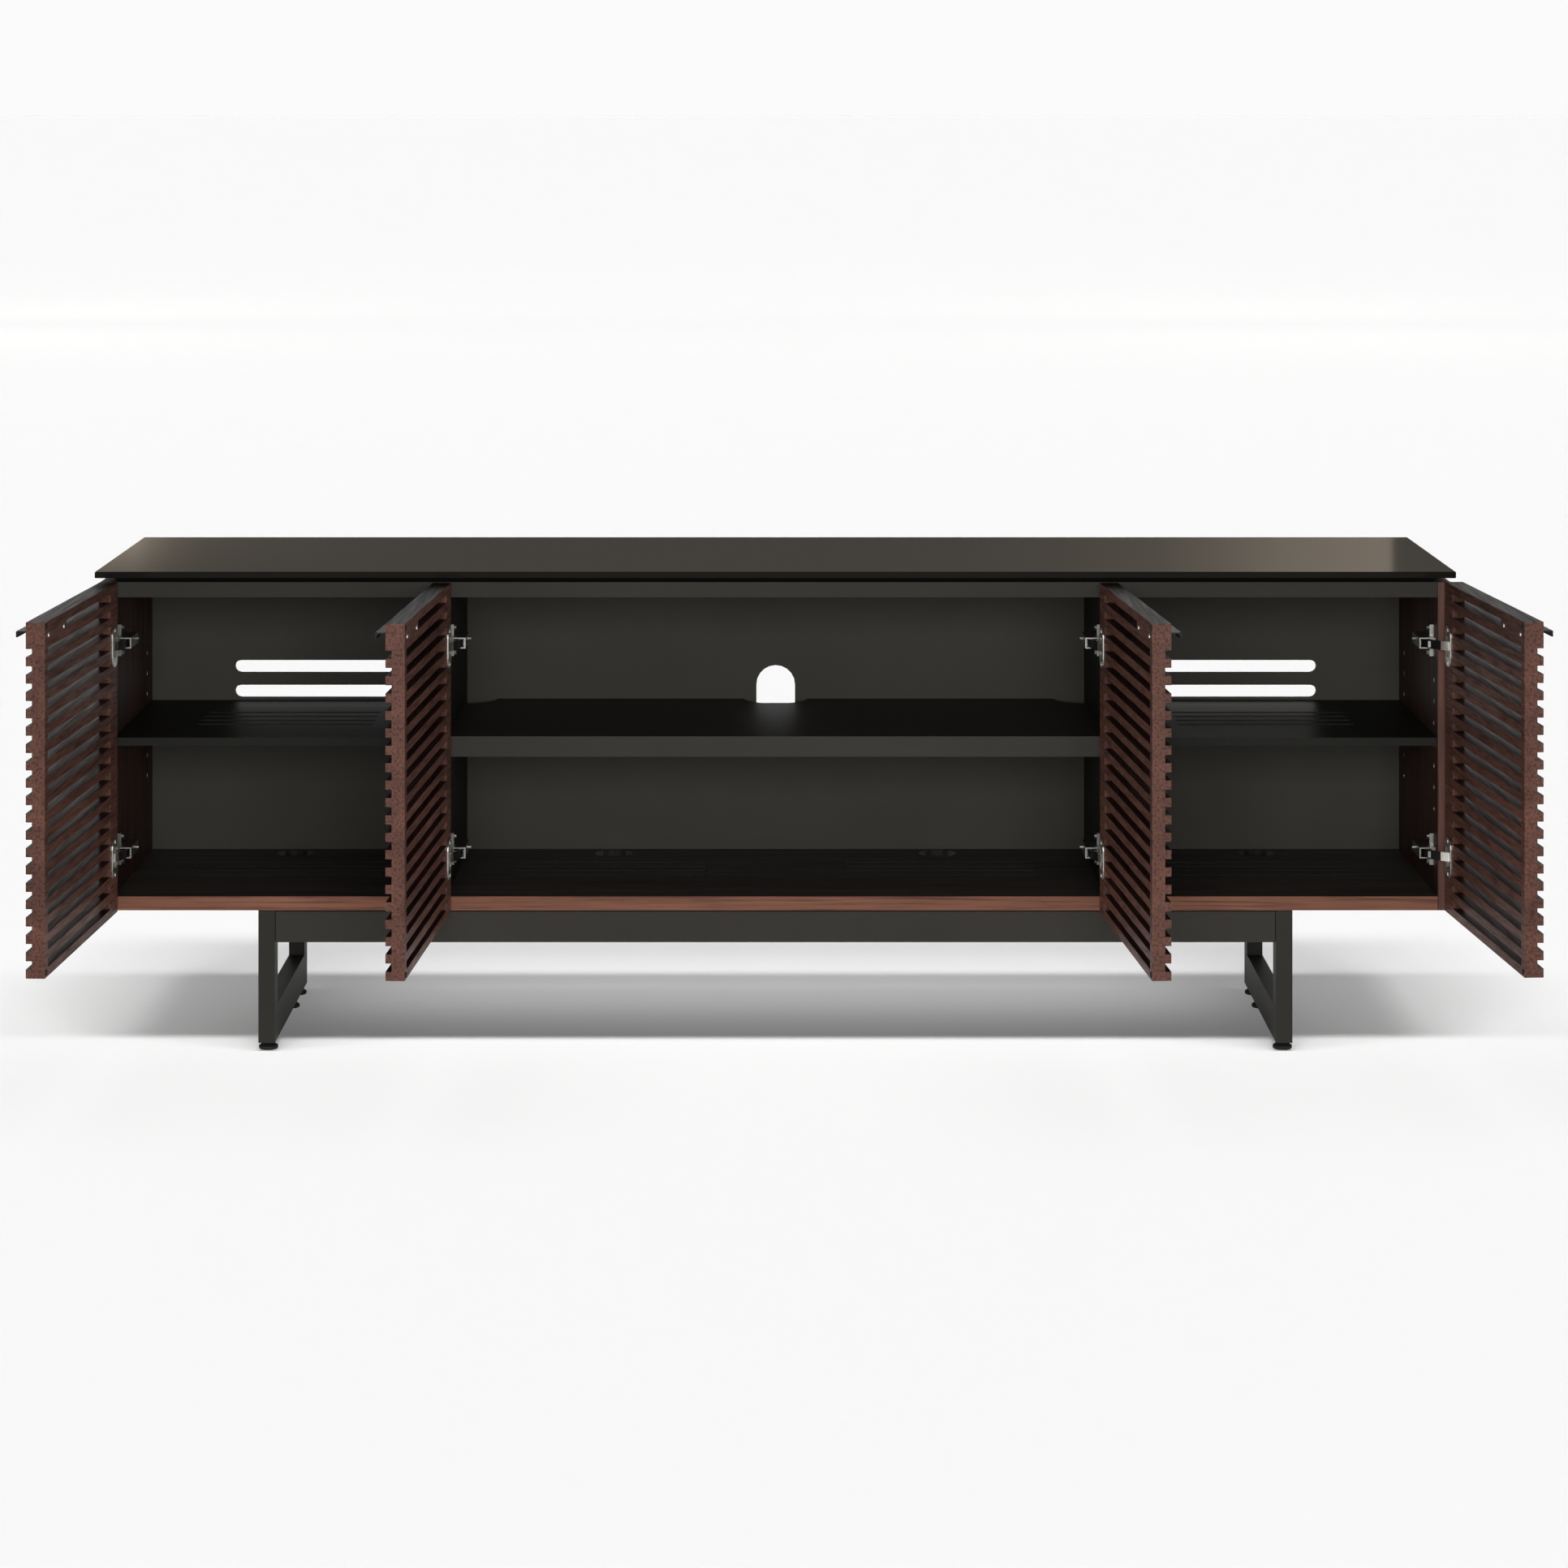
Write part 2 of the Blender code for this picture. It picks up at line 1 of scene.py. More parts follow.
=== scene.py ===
"""Looks for the media cabinet: finishes, small fittings, studio floor, light and camera. Metres, Z up."""

import math

import bmesh
import bpy
import numpy as np
from mathutils import Matrix, Vector


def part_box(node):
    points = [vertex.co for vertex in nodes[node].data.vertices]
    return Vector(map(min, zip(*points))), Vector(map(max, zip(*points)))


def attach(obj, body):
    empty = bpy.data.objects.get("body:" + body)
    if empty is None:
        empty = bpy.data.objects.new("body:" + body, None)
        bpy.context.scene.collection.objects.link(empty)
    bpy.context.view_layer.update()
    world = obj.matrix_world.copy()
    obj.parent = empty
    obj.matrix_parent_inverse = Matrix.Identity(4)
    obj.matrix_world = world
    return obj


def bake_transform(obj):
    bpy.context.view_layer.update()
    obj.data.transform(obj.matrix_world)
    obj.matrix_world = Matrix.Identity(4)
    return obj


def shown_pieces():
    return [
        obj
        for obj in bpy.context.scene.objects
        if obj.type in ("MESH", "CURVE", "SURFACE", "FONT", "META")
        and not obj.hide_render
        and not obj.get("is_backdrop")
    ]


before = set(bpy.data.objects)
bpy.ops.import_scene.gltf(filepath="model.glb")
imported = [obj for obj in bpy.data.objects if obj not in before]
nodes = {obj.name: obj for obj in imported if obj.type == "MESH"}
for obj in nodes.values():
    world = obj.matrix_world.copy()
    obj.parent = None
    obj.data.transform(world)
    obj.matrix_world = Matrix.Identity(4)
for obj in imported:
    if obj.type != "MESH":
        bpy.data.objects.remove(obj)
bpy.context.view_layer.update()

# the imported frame's offset from a frame whose y = 0 is the carcass front and x = 0 its middle
g_low, g_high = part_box("glass_top")
CX = float(g_low[0] + g_high[0]) / 2
CY = float(g_high[1]) - 0.473
CAM = (0.0079 + CX, -6.522 + CY, 1.4317)


# ------------------------------------------------------------------ materials
def principled(name):
    m = bpy.data.materials.new(name)
    m.use_nodes = True
    return m, m.node_tree, m.node_tree.nodes["Principled BSDF"]


def mapped(nt, scale, coord="Object"):
    tc = nt.nodes.new("ShaderNodeTexCoord")
    mp = nt.nodes.new("ShaderNodeMapping")
    mp.inputs["Scale"].default_value = scale
    nt.links.new(tc.outputs[coord], mp.inputs["Vector"])
    return mp.outputs["Vector"]


def noise(nt, vec, scale, detail=4.0, rough=0.55, distortion=0.0):
    n = nt.nodes.new("ShaderNodeTexNoise")
    n.inputs["Scale"].default_value = scale
    n.inputs["Detail"].default_value = detail
    n.inputs["Roughness"].default_value = rough
    n.inputs["Distortion"].default_value = distortion
    nt.links.new(vec, n.inputs["Vector"])
    return n.outputs["Fac"]


def ramp(nt, fac, stops):
    r = nt.nodes.new("ShaderNodeValToRGB")
    e = r.color_ramp.elements
    while len(e) < len(stops):
        e.new(0.5)
    for el, (p, c) in zip(e, stops):
        el.position = p
        el.color = (*c, 1.0)
    nt.links.new(fac, r.inputs["Fac"])
    return r.outputs["Color"]


def spread(nt, fac, low, high):
    r = nt.nodes.new("ShaderNodeMapRange")
    r.inputs["To Min"].default_value = low
    r.inputs["To Max"].default_value = high
    r.inputs["From Min"].default_value = 0.3
    r.inputs["From Max"].default_value = 0.7
    nt.links.new(fac, r.inputs["Value"])
    return r.outputs["Result"]


def bump(nt, bsdf, height, strength, distance):
    b = nt.nodes.new("ShaderNodeBump")
    b.inputs["Strength"].default_value = strength
    b.inputs["Distance"].default_value = distance
    nt.links.new(height, b.inputs["Height"])
    nt.links.new(b.outputs["Normal"], bsdf.inputs["Normal"])


def mul(c, k):
    return tuple(v * k for v in c)


def wood(name, mid, grain, contrast=1.0, rough=0.5, spec=0.3, inner=None, up=1.0, front=1.0):
    """Straight-grained veneer; grain is 0, 1 or 2 for the axis the fibres run along. up and front darken faces
    turned up or to the front, and inner darkens the faces inside the cabinet: painted shade.
    """
    m, nt, b = principled(name)
    broad = [9.0, 9.0, 9.0]
    broad[grain] = 0.9
    fine = [260.0, 260.0, 260.0]
    fine[grain] = 6.0
    bands = noise(nt, mapped(nt, broad), 2.2, 3.0, 0.5, 0.6)
    pores = noise(nt, mapped(nt, fine), 1.0, 3.0, 0.65, 0.1)
    k = contrast
    base = ramp(nt, bands, [(0.30, mul(mid, 1 - 0.30 * k)), (0.50, mid), (0.72, mul(mid, 1 + 0.28 * k))])
    dark = ramp(nt, pores, [(0.36, (1 - 0.55 * k,) * 3), (0.52, (1.0, 1.0, 1.0)), (0.70, (1 + 0.14 * k,) * 3)])
    mix = nt.nodes.new("ShaderNodeMix")
    mix.data_type = "RGBA"
    mix.blend_type = "MULTIPLY"
    mix.inputs["Factor"].default_value = 1.0
    nt.links.new(base, mix.inputs["A"])
    nt.links.new(dark, mix.inputs["B"])
    color = mix.outputs["Result"]
    if up != 1.0 or front != 1.0:
        # faces turned up (up) and to the front (front) are darkened by these factors: painted shade
        facing = nt.nodes.new("ShaderNodeSeparateXYZ")
        nt.links.new(nt.nodes.new("ShaderNodeTexCoord").outputs["Normal"], facing.inputs["Vector"])
        for axis, start, end, value in (("Z", 0.6, 0.9, up), ("Y", -0.6, -0.9, front)):
            if value != 1.0:
                tone = nt.nodes.new("ShaderNodeMapRange")
                tone.inputs["From Min"].default_value = start
                tone.inputs["From Max"].default_value = end
                tone.inputs["To Min"].default_value = 1.0
                tone.inputs["To Max"].default_value = value
                nt.links.new(facing.outputs[axis], tone.inputs["Value"])
                painted_shade = nt.nodes.new("ShaderNodeVectorMath")
                painted_shade.operation = "SCALE"
                nt.links.new(color, painted_shade.inputs[0])
                nt.links.new(tone.outputs["Result"], painted_shade.inputs["Scale"])
                color = painted_shade.outputs["Vector"]
    if inner is not None:
        # the faces that look into the cabinet are darkened by inner: painted shade inside the cabinet
        at = nt.nodes.new("ShaderNodeSeparateXYZ")
        nt.links.new(mapped(nt, (1.0, 1.0, 1.0)), at.inputs["Vector"])
        off = nt.nodes.new("ShaderNodeMath")
        off.operation = "SUBTRACT"
        off.inputs[1].default_value = CX
        nt.links.new(at.outputs["X"], off.inputs[0])
        wide = nt.nodes.new("ShaderNodeMath")
        wide.operation = "ABSOLUTE"
        nt.links.new(off.outputs["Value"], wide.inputs[0])
        edge = nt.nodes.new("ShaderNodeMapRange")
        edge.inputs["From Min"].default_value = 0.9845
        edge.inputs["From Max"].default_value = 0.9850
        edge.inputs["To Min"].default_value = inner
        edge.inputs["To Max"].default_value = 1.0
        nt.links.new(wide.outputs["Value"], edge.inputs["Value"])
        shade = nt.nodes.new("ShaderNodeVectorMath")
        shade.operation = "SCALE"
        nt.links.new(color, shade.inputs[0])
        nt.links.new(edge.outputs["Result"], shade.inputs["Scale"])
        color = shade.outputs["Vector"]
    nt.links.new(color, b.inputs["Base Color"])
    nt.links.new(spread(nt, pores, rough + 0.10, rough - 0.06), b.inputs["Roughness"])
    b.inputs["Specular IOR Level"].default_value = spec
    bump(nt, b, pores, 0.10, 0.0004)
    return m


def paint(name, color, rough, spec=0.3, metallic=0.0, grain=1800.0, depth=0.05, spread_rough=0.05, mottled=0.06):
    """Painted board, powder coat or plastic."""
    m, nt, b = principled(name)
    v = mapped(nt, (1.0, 1.0, 1.0))
    fine = noise(nt, v, grain, 2.0, 0.5)
    wide = noise(nt, v, 6.0, 3.0, 0.5)
    nt.links.new(ramp(nt, wide, [(0.3, mul(color, 1 - mottled)), (0.7, mul(color, 1 + mottled))]), b.inputs["Base Color"])
    nt.links.new(spread(nt, fine, rough - spread_rough, rough + spread_rough), b.inputs["Roughness"])
    b.inputs["Specular IOR Level"].default_value = spec
    b.inputs["Metallic"].default_value = metallic
    if depth:
        bump(nt, b, fine, depth, 0.0002)
    return m


def etched_glass(name, color):
    """Dark back-painted glass with a fine etched sheen that is nearly even at a low angle."""
    m, nt, b = principled(name)
    v = mapped(nt, (1.0, 1.0, 1.0))
    wide = noise(nt, mapped(nt, (0.8, 1.5, 1.0)), 1.6, 2.0, 0.5)
    fine = noise(nt, v, 900.0, 2.0, 0.5)
    nt.links.new(ramp(nt, wide, [(0.3, mul(color, 0.90)), (0.7, mul(color, 1.10))]), b.inputs["Base Color"])
    nt.links.new(spread(nt, fine, 0.28, 0.34), b.inputs["Roughness"])
    b.inputs["Specular IOR Level"].default_value = 0.0
    sheen = nt.nodes.new("ShaderNodeBsdfGlossy")
    sheen.inputs["Roughness"].default_value = 0.07
    sheen.inputs["Color"].default_value = (1.0, 0.89, 0.76, 1.0)
    mix = nt.nodes.new("ShaderNodeMixShader")
    geo = nt.nodes.new("ShaderNodeNewGeometry")
    up = nt.nodes.new("ShaderNodeSeparateXYZ")
    nt.links.new(geo.outputs["True Normal"], up.inputs["Vector"])
    top = nt.nodes.new("ShaderNodeMapRange")
    top.inputs["From Min"].default_value = 0.8
    top.inputs["To Min"].default_value = 0.004
    top.inputs["To Max"].default_value = 0.058
    nt.links.new(up.outputs["Z"], top.inputs["Value"])
    nt.links.new(top.outputs["Result"], mix.inputs["Fac"])
    out = nt.nodes["Material Output"]
    nt.links.new(b.outputs["BSDF"], mix.inputs[1])
    nt.links.new(sheen.outputs["BSDF"], mix.inputs[2])
    nt.links.new(mix.outputs["Shader"], out.inputs["Surface"])
    return m


WALNUT = (0.110, 0.046, 0.033)
# up=0.30 darkens the up-facing faces of the doors: painted shade
walnut_y = wood("walnut_doors", WALNUT, 1, 1.0, 0.46, 0.16, up=0.30)
# inner=0.45 darkens the side panels' faces inside the cabinet: painted shade
walnut_side = wood("walnut_sides", WALNUT, 2, 1.0, 0.50, 0.20, inner=0.45)
walnut_lip = wood("walnut_lipping", (0.180, 0.077, 0.048), 0, 0.75, 0.48, 0.10)
# front=0.12 darkens the front-facing faces of the bottom board: painted shade
walnut_floor = wood("walnut_floor", (0.060, 0.050, 0.044), 0, 0.6, 0.55, 0.15, front=0.12)
board = paint("painted_board", (0.050, 0.047, 0.040), 0.62, 0.12)
board_top = paint("painted_top_board", (0.034, 0.031, 0.026), 0.60, 0.10)
leg_steel = paint("powder_coat_legs", (0.025, 0.024, 0.020), 0.55, 0.10, 0.0, 2600.0, 0.12)
divider = paint("painted_divider", (0.016, 0.016, 0.014), 0.60, 0.12)
deck = paint("painted_deck", (0.003, 0.003, 0.003), 0.70, 0.05)
shelf = paint("black_shelf", (0.015, 0.015, 0.013), 0.50, 0.06)
shelf_front = paint("dark_shelf", (0.034, 0.031, 0.026), 0.50, 0.10)
steel = paint("powder_coat", (0.033, 0.030, 0.026), 0.55, 0.10, 0.0, 2600.0, 0.12)
black_metal = paint("black_metal", (0.006, 0.006, 0.006), 0.42, 0.18, 0.0, 2600.0, 0.08)
rubber = paint("black_rubber", (0.012, 0.012, 0.012), 0.70, 0.25)
nickel = paint("nickel_plate", (0.80, 0.77, 0.72), 0.32, 0.5, 1.0, 700.0, 0.02)
nickel_dark = paint("nickel_arm", (0.26, 0.25, 0.23), 0.34, 0.5, 1.0, 700.0, 0.02)
glass = etched_glass("etched_black_glass", (0.010, 0.0095, 0.008))


def look_of(name):
    if name == "glass_top":
        return glass
    if name == "top_deck":
        return deck
    if name == "top_board":
        return board_top
    if name == "bottom_board":
        return walnut_floor
    if name == "bottom_lipping":
        return walnut_lip
    if name.startswith("side_panel"):
        return walnut_side
    if name.startswith("door_"):
        return walnut_y
    if name.startswith("divider"):
        return divider
    if name.startswith("back_panel"):
        return board
    if name == "shelf_middle":
        return shelf_front
    if name.startswith("shelf_pin"):
        return nickel
    if name.startswith("shelf_"):
        return shelf
    if name.startswith("leg_"):
        return leg_steel
    if name.startswith("beam_"):
        return steel
    if name.startswith("pull_"):
        return black_metal
    if name.startswith("foot_"):
        return rubber
    if name.startswith("hinge_arm"):
        return nickel_dark
    return nickel


BEVELS = {"door_": 0.0006, "bottom_lipping": 0.0008, "side_panel": 0.0008, "divider": 0.0006, "leg_frame": 0.0012,
          "top_board": 0.0006, "shelf_left": 0.0008, "shelf_right": 0.0008, "shelf_middle": 0.0008}
for name, obj in nodes.items():
    if not obj.material_slots:
        obj.data.materials.append(None)
    obj.material_slots[0].link = "OBJECT"
    obj.material_slots[0].material = look_of(name)
    for start, width in BEVELS.items():
        if name.startswith(start):
            mod = obj.modifiers.new("soft_edges", "BEVEL")
            mod.width = width
            mod.segments = 1
            mod.limit_method = "ANGLE"
            mod.angle_limit = math.radians(50)


# ------------------------------------------------------------------ small fittings
def piece(name, bm, material, smooth=False):
    mesh = bpy.data.meshes.new(name)
    bmesh.ops.recalc_face_normals(bm, faces=bm.faces)
    bm.to_mesh(mesh)
    bm.free()
    mesh.materials.append(material)
    obj = bpy.data.objects.new(name, mesh)
    bpy.context.scene.collection.objects.link(obj)
    if smooth:
        mesh.shade_smooth()
        mesh.set_sharp_from_angle(angle=math.radians(35))
    return obj


def stub(bm, start, end, r0, r1=None, sides=20):
    start, end = Vector(start), Vector(end)
    turn = Vector((0, 0, 1)).rotation_difference(end - start).to_matrix().to_4x4()
    out = bmesh.ops.create_cone(bm, cap_ends=True, segments=sides, radius1=r0, radius2=r0 if r1 is None else r1,
                                depth=(end - start).length)
    bmesh.ops.transform(bm, matrix=Matrix.Translation((start + end) / 2) @ turn, verts=out["verts"])


def block(bm, matrix, low, high):
    low, high = Vector(low), Vector(high)
    out = bmesh.ops.create_cube(bm, size=1.0)
    bmesh.ops.transform(bm, matrix=matrix @ Matrix.Translation((low + high) / 2) @ Matrix.Diagonal((*(high - low), 1.0)),
                        verts=out["verts"])


# each door: side sign, hinge edge x, width, open degrees, axis depth a and offset b
DOORS = {
    "left_outer": (1, -1.0025, 0.4940, 92.9, 0.0195, 0.0076),
    "left_inner": (1, -0.5045, 0.5025, 92.9, 0.0215, 0.0025),
    "right_inner": (-1, 0.5045, 0.5025, 94.0, 0.0215, 0.0025),
    "right_outer": (-1, 1.0025, 0.4940, 94.0, 0.0075, 0.0014),
}
DOOR_Z, DOOR_H, DOOR_T = 0.2148, 0.4878, 0.0265
for tag, (sign, edge, width, angle, a, b) in DOORS.items():
    body = f"door_{tag}_body"
    place = Matrix.Translation((edge + sign * b + CX, -0.002 - a + CY, 0)) @ Matrix.Rotation(-sign * math.radians(angle), 4, "Z")

    def on(u, depth, z):
        """A point u from the hinge edge, depth in front of (below zero: behind) the inner face."""
        return place @ Vector((sign * (u - b), a - depth, z))

    # pull screws on the inner face
    bm = bmesh.new()
    for u in (width - 0.023, width - 0.121):
        z = DOOR_Z + DOOR_H - 0.0187
        stub(bm, on(u, 0.0002, z), on(u, -0.0014, z), 0.0036, 0.0028, 20)
    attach(piece(f"pull_screws_{tag}", bm, nickel, True), body)
    # soft bumpers in the free corners
    bm = bmesh.new()
    for z in (DOOR_Z + 0.0068, DOOR_Z + DOOR_H - 0.0068):
        stub(bm, on(width - 0.0072, 0.0002, z), on(width - 0.0072, -0.0014, z), 0.0046, 0.0036, 20)
    obj = piece(f"bumpers_{tag}", bm, rubber, True)
    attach(obj, body)

# sleeves in the shelf-pin holes
for side, word in ((-1, "left"), (1, "right")):
    for wall, face, into in (("side_panel", side * 0.984, -side), ("divider", side * 0.506, side)):
        bm = bmesh.new()
        for y in (0.037, 0.351):
            for step in range(-3, 4):
                z = 0.4699 - 0.0120 - 0.0003 - 0.0025 + 0.032 * step
                outer, inner = 0.0038, 0.0026
                rings = []
                for radius, lift_off in ((outer, 0.0), (outer - 0.0003, 0.0004), (inner, 0.0004), (inner, 0.0)):
                    rings.append([bm.verts.new((face + CX + into * (lift_off - 0.0001),
                                                y + CY + radius * math.cos(math.tau * k / 12),
                                                z + radius * math.sin(math.tau * k / 12))) for k in range(12)])
                for a_ring, b_ring in zip(rings, rings[1:] + rings[:1]):
                    for k in range(12):
                        bm.faces.new((a_ring[k], a_ring[(k + 1) % 12], b_ring[(k + 1) % 12], b_ring[k]))
        obj = piece(f"pin_sleeves_{wall}_{word}", bm, nickel)
        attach(obj, "cabinet")

# hinge links, from each arm's mouth to its cup
for tag, (sign, edge, width, angle, a, b) in DOORS.items():
    wall = -sign * (0.984 if "outer" in tag else 0.487)
    place = Matrix.Translation((edge + sign * b + CX, -0.002 - a + CY, 0)) @ Matrix.Rotation(-sign * math.radians(angle), 4, "Z")

    def on_door(u, depth):
        return place @ Vector((sign * (u - b), a - depth, 0))

    for level, z in (("lower", 0.298), ("upper", 0.610)):
        knots = [Vector((wall + sign * 0.0205 + CX, 0.0160 + CY, 0)), Vector((wall + sign * 0.0205 + CX, 0.0020 + CY, 0)),
                 on_door(0.0235, -0.0035), on_door(0.0225, 0.0060)]
        steps = 14
        bm = bmesh.new()
        rows = []
        for i in range(steps + 1):
            t = i / steps
            w = ((1 - t) ** 3, 3 * t * (1 - t) ** 2, 3 * t * t * (1 - t), t ** 3)
            p = sum((k * q for k, q in zip(knots, w)), Vector((0, 0, 0)))
            d = ((knots[1] - knots[0]) * (1 - t) ** 2 + (knots[2] - knots[1]) * 2 * t * (1 - t) + (knots[3] - knots[2]) * t * t)
            n = Vector((-d.y, d.x, 0)).normalized() * 0.0013
            h = 0.0052 + 0.0013 * min(1.0, 2.5 * t)
            rows.append([bm.verts.new(p + n * s0 + Vector((0, 0, z + h * s1))) for s0, s1 in ((-1, -1), (1, -1), (1, 1), (-1, 1))])
        bright = []
        for i in range(steps):
            for k in range(4):
                f = bm.faces.new((rows[i][k], rows[i][(k + 1) % 4], rows[i + 1][(k + 1) % 4], rows[i + 1][k]))
                bright.append(i >= 9)
        bright += [False, True]
        bm.faces.new(rows[0])
        bm.faces.new(rows[-1])
        obj = piece(f"hinge_link_{tag}_{level}", bm, black_metal)
        obj.data.materials.append(nickel)
        for f, on_end in zip(obj.data.polygons, bright):
            f.material_index = 1 if on_end else 0
        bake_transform(obj)


# ------------------------------------------------------------------ studio
def floor_material():
    m, nt, b = principled("studio_floor")
    v = mapped(nt, (1.0, 1.0, 1.0))
    wide = noise(nt, v, 0.6, 2.0, 0.5)
    nt.links.new(ramp(nt, wide, [(0.3, (FLOOR * 0.998,) * 3), (0.7, (FLOOR * 1.002,) * 3)]), b.inputs["Base Color"])
    b.inputs["Roughness"].default_value = 0.9
    b.inputs["Specular IOR Level"].default_value = 0.0
    return m


FLOOR = 0.60
SUN = 4.15
bpy.ops.mesh.primitive_plane_add(size=1.0, location=(0, 40, -0.0006))
floor = bpy.context.object
floor.name = "studio_floor"
floor.scale = (400, 400, 1)
floor.data.materials.append(floor_material())
floor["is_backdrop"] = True

world = bpy.data.worlds.new("studio")
bpy.context.scene.world = world
world.use_nodes = True
wt = world.node_tree
bg = wt.nodes["Background"]
tc = wt.nodes.new("ShaderNodeTexCoord")
sep = wt.nodes.new("ShaderNodeSeparateXYZ")
wt.links.new(tc.outputs["Generated"], sep.inputs["Vector"])
shade = wt.nodes.new("ShaderNodeValToRGB")
el = shade.color_ramp.elements
el[0].position, el[0].color = 0.16, (0.965, 0.965, 0.965, 1)
el[1].position, el[1].color = 0.42, (0.07, 0.07, 0.07, 1)
wt.links.new(sep.outputs["Z"], shade.inputs["Fac"])
across = wt.nodes.new("ShaderNodeMath")
across.operation = "ABSOLUTE"
wt.links.new(sep.outputs["X"], across.inputs[0])
dim = wt.nodes.new("ShaderNodeMapRange")
dim.interpolation_type = "SMOOTHSTEP"
dim.inputs["From Min"].default_value = 0.18
dim.inputs["From Max"].default_value = 0.70
dim.inputs["To Min"].default_value = 1.0
dim.inputs["To Max"].default_value = 0.28
wt.links.new(across.outputs["Value"], dim.inputs["Value"])
both = wt.nodes.new("ShaderNodeVectorMath")
both.operation = "SCALE"
wt.links.new(shade.outputs["Color"], both.inputs[0])
wt.links.new(dim.outputs["Result"], both.inputs["Scale"])
wt.links.new(both.outputs["Vector"], bg.inputs["Color"])
bg.inputs["Strength"].default_value = 1.0


def area(name, location, target, size_x, size_y, energy, color=(1, 1, 1)):
    light = bpy.data.lights.new(name, "AREA")
    light.shape = "RECTANGLE"
    light.size, light.size_y = size_x, size_y
    light.energy = energy
    light.color = color
    obj = bpy.data.objects.new(name, light)
    bpy.context.scene.collection.objects.link(obj)
    obj.location = location
    obj.rotation_euler = (Vector(target) - Vector(location)).to_track_quat("-Z", "Y").to_euler()
    return obj


floor_set = bpy.data.collections.new("lit_floor")
floor_set.objects.link(floor)
object_set = bpy.data.collections.new("lit_object")
carcass_set = bpy.data.collections.new("shading_carcass")
base_set = bpy.data.collections.new("shading_base")
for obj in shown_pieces():
    object_set.objects.link(obj)
    if not obj.name.startswith(("door_", "pull_", "hinge_cup", "bumpers")):
        carcass_set.objects.link(obj)
    if obj.name.startswith(("bottom_", "beam_", "leg_", "foot_")):
        base_set.objects.link(obj)

# overhead light for the floor, spread sideways like a long strip. The steeper part is
# shaded by the whole carcass, the leaning part only by the base and its board
OVERHEAD = [(-0.24 + 0.12 * i, 0.46 / 5, True) for i in range(5)] + [(-1.32 + 0.22 * i, 0.54 / 13, False) for i in range(13)]
for i, (lean, share, whole) in enumerate(OVERHEAD):
    heading = Vector((lean, 0.58, -1.0))
    sun = bpy.data.lights.new(f"overhead_{i}", "SUN")
    sun.energy = SUN * share * heading.length
    sun.angle = math.radians(9)
    sun_obj = bpy.data.objects.new(f"overhead_{i}", sun)
    bpy.context.scene.collection.objects.link(sun_obj)
    sun_obj.rotation_euler = heading.to_track_quat("-Z", "Y").to_euler()
    sun_obj.light_linking.receiver_collection = floor_set
    sun_obj.light_linking.blocker_collection = carcass_set if whole else base_set

# even fill on the floor, and a lift under the back of the cabinet, neither of them shaded
fill = bpy.data.lights.new("floor_fill", "SUN")
fill.energy = 0.55
fill.angle = math.radians(60)
fill_obj = bpy.data.objects.new("floor_fill", fill)
bpy.context.scene.collection.objects.link(fill_obj)
fill_obj.light_linking.receiver_collection = floor_set
fill_obj.light_linking.blocker_collection = floor_set
lift = area("floor_lift", (CX, 0.53 + CY, 0.20), (CX, 0.53 + CY, 0), 1.42, 0.45, 1.35)
lift.light_linking.receiver_collection = floor_set
lift.light_linking.blocker_collection = floor_set

# broad front light for the cabinet
front = area("front", (CX + 0.2, -6.0, 1.55), (CX, 0.2, 0.45), 2.6, 1.4, 178.0)
front.light_linking.receiver_collection = object_set

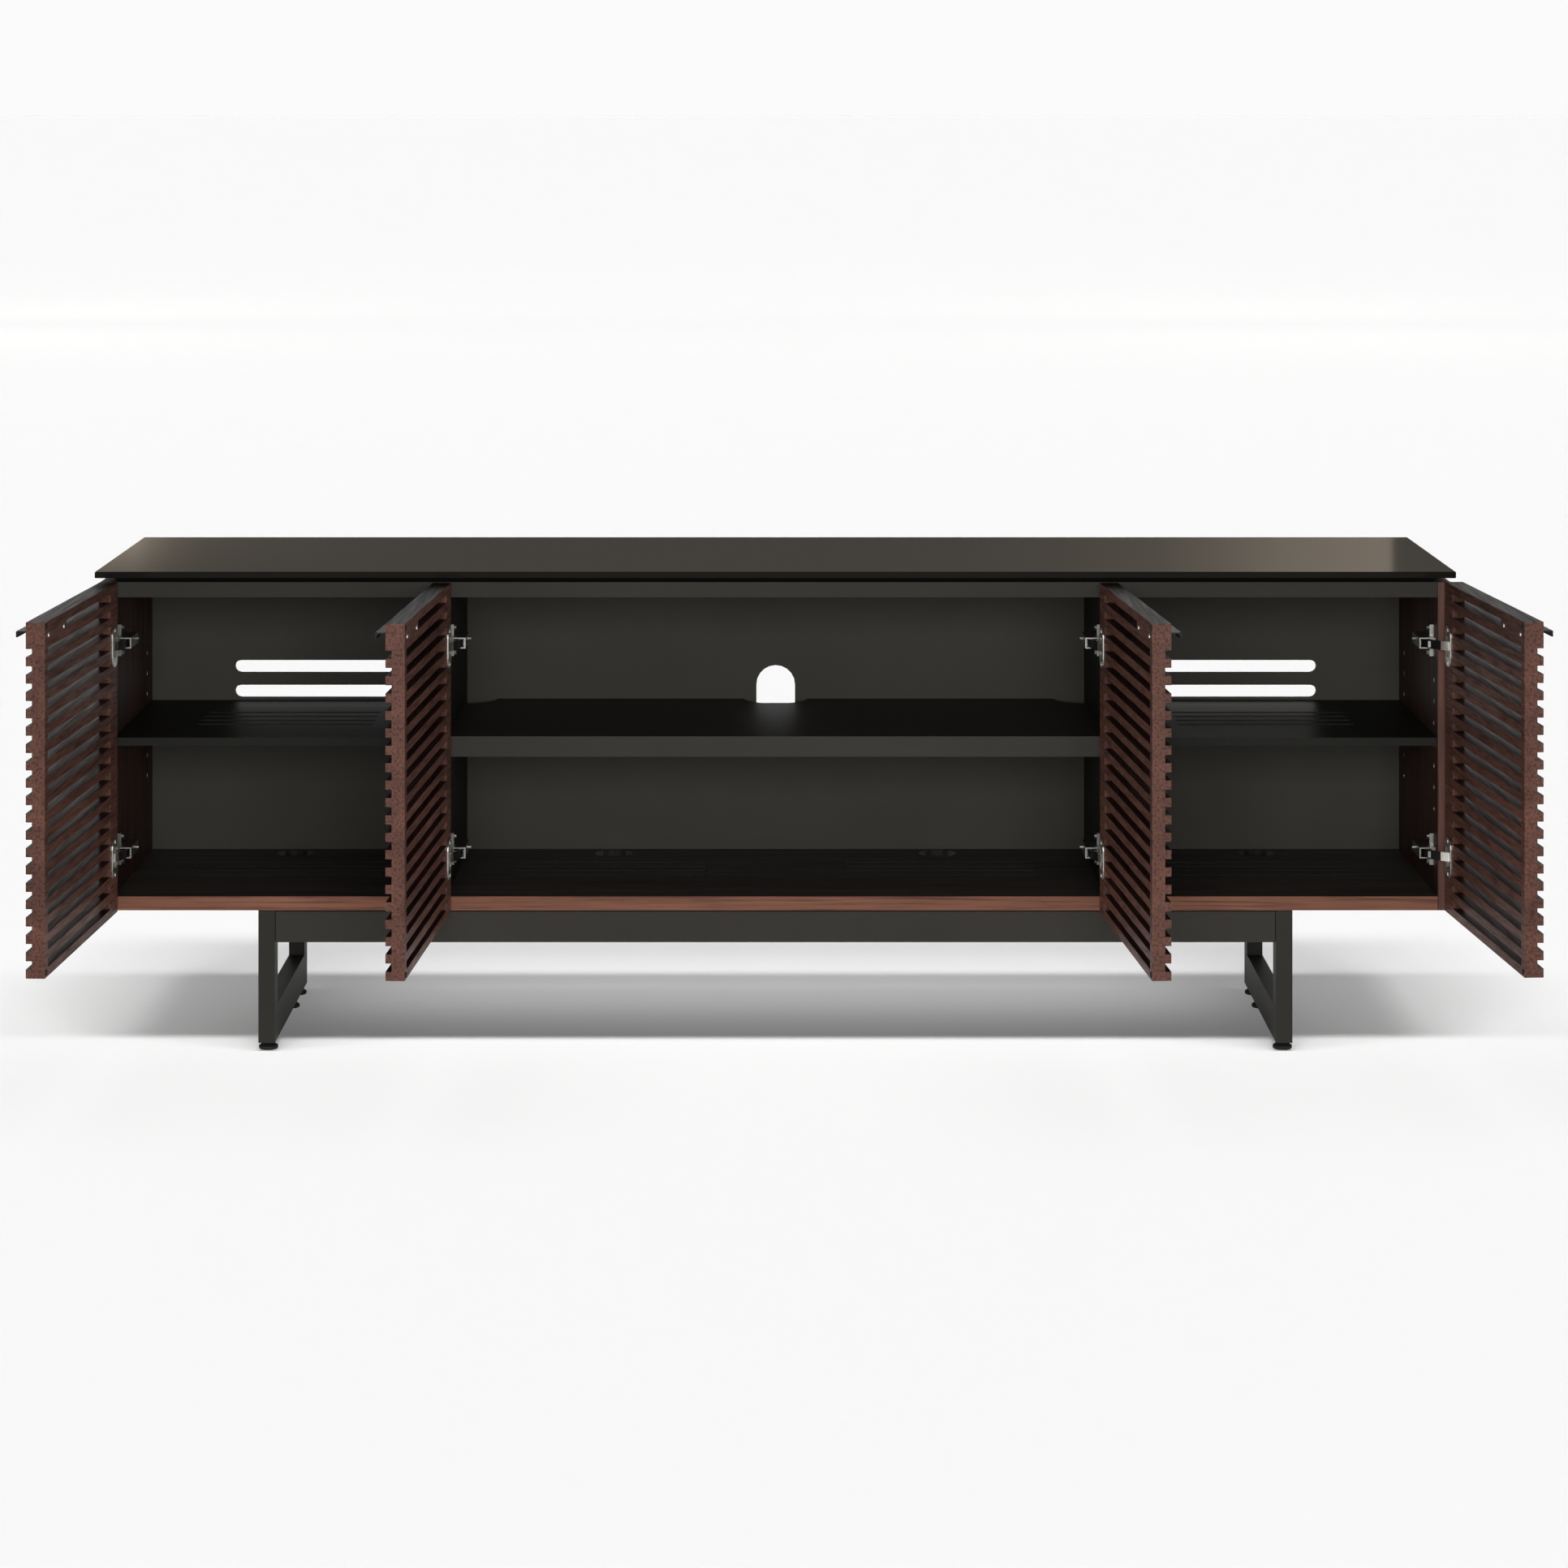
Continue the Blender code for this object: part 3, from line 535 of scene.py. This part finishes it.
# two glowing cards, out of the frame, that the glass top reflects
def card(name, x0, x1, z0, z1, stops):
    """A backdrop card whose glow follows stops of (x, radiance)."""
    bm = bmesh.new()
    bm.faces.new([bm.verts.new((x + CX, 20.4, z)) for x, z in ((x0, z0), (x1, z0), (x1, z1), (x0, z1))])
    mesh = bpy.data.meshes.new(name)
    bm.to_mesh(mesh)
    bm.free()
    m = bpy.data.materials.new(name)
    m.use_nodes = True
    nt = m.node_tree
    nt.nodes.remove(nt.nodes["Principled BSDF"])
    glow = nt.nodes.new("ShaderNodeEmission")
    where = nt.nodes.new("ShaderNodeSeparateXYZ")
    nt.links.new(mapped(nt, (1.0, 1.0, 1.0)), where.inputs["Vector"])
    along = nt.nodes.new("ShaderNodeMapRange")
    along.inputs["From Min"].default_value = x0 + CX
    along.inputs["From Max"].default_value = x1 + CX
    nt.links.new(where.outputs["X"], along.inputs["Value"])
    level = ramp(nt, along.outputs["Result"], [((x - x0) / (x1 - x0), mul((1.0, 0.94, 0.86), v / 6.0)) for x, v in stops])
    nt.links.new(level, glow.inputs["Color"])
    glow.inputs["Strength"].default_value = 6.0
    # the glow is added to whatever stands behind the card, so its dark end has no edge
    clear = nt.nodes.new("ShaderNodeBsdfTransparent")
    both = nt.nodes.new("ShaderNodeAddShader")
    nt.links.new(glow.outputs["Emission"], both.inputs[0])
    nt.links.new(clear.outputs["BSDF"], both.inputs[1])
    nt.links.new(both.outputs["Shader"], nt.nodes["Material Output"].inputs["Surface"])
    mesh.materials.append(m)
    obj = bpy.data.objects.new(name, mesh)
    bpy.context.scene.collection.objects.link(obj)
    obj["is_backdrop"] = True


card("card_right", 0.3, 3.755, 2.2, 3.8, ((0.3, 0.0), (1.1, 0.04), (1.7, 0.15), (2.3, 0.4), (2.69, 0.9), (3.08, 1.6), (3.755, 2.2)))
card("card_left", -5.4, -1.9, 2.2, 2.84, ((-5.4, 5.4), (-3.95, 5.0), (-3.85, 2.8), (-3.7, 1.3), (-3.5, 0.6), (-3.2, 0.3), (-2.6, 0.1), (-1.9, 0.0)))

# ------------------------------------------------------------------ camera
cam = bpy.data.cameras.new("camera")
cam_obj = bpy.data.objects.new("camera", cam)
bpy.context.scene.collection.objects.link(cam_obj)
cam.lens = 100.8
cam.sensor_width = 36.0
cam.shift_x = 0.0021
cam.shift_y = -0.4423
cam.clip_end = 1000
cam_obj.location = CAM
cam_obj.rotation_euler = (math.radians(90), 0, 0)
bpy.context.scene.camera = cam_obj
bpy.context.scene.view_settings.view_transform = "Standard"
bpy.context.scene.view_settings.look = "None"
